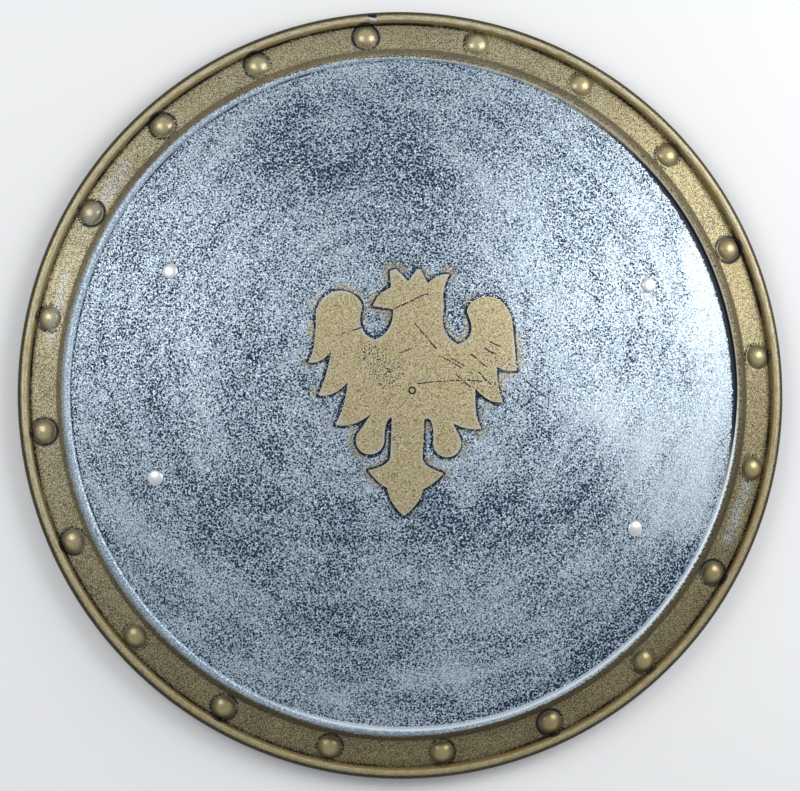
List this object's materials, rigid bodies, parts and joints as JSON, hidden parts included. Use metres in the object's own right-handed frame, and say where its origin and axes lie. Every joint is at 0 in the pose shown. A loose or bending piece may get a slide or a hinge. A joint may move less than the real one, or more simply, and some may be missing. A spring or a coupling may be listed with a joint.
{
  "type": "toy round shield",
  "caption": "Round moulded plastic toy shield with a domed face, studded rim, low-relief crowned eagle, four rivets and two arm straps behind.",
  "frame": {"origin": "middle of the rim's underside, where the shield rests lying face up", "axes": "+Z out of the face along the dome's axis, +Y towards the eagle's head, +X to the viewer's right"},
  "size_m": [0.5, 0.5, 0.0768],
  "materials": {
    "painted_plastic": "black moulding with dry-brushed silver paint on the dome and gold paint on the band, rim and eagle",
    "nickel_rivet": "bright nickel-plated pressed steel",
    "black_webbing": "plain woven black webbing"
  },
  "bodies": {
    "root": {"shell": "painted_plastic", "rivet_upper_left": "nickel_rivet", "rivet_lower_left": "nickel_rivet", "rivet_upper_right": "nickel_rivet", "rivet_lower_right": "nickel_rivet", "arm_strap_left": "black_webbing", "arm_strap_right": "black_webbing"}
  },
  "joints": []
}
